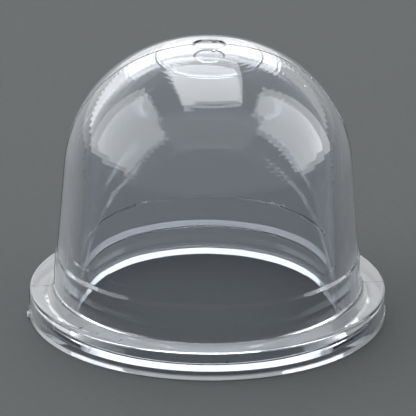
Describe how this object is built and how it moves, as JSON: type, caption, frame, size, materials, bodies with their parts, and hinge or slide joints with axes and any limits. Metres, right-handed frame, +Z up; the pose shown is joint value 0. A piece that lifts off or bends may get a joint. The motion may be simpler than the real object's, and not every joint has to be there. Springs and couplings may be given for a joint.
{
  "type": "primer bulb",
  "caption": "Clear moulded primer bulb: a flexible hollow dome on a flat clamping flange, squeezed by thumb to draw fuel into a small engine's carburettor.",
  "frame": {"origin": "on the bulb's axis, at the level that the sealing lip under the flange stands on", "axes": "+Z up the axis towards the crown; X along the mould's parting line; -Y is the side that the picture looks at"},
  "size_m": [0.0224, 0.0224, 0.0176],
  "materials": {
    "clear_plastic": "clear, glossy, with a faint cool grey tint"
  },
  "bodies": {
    "root": {"primer_bulb": "clear_plastic"}
  },
  "joints": []
}
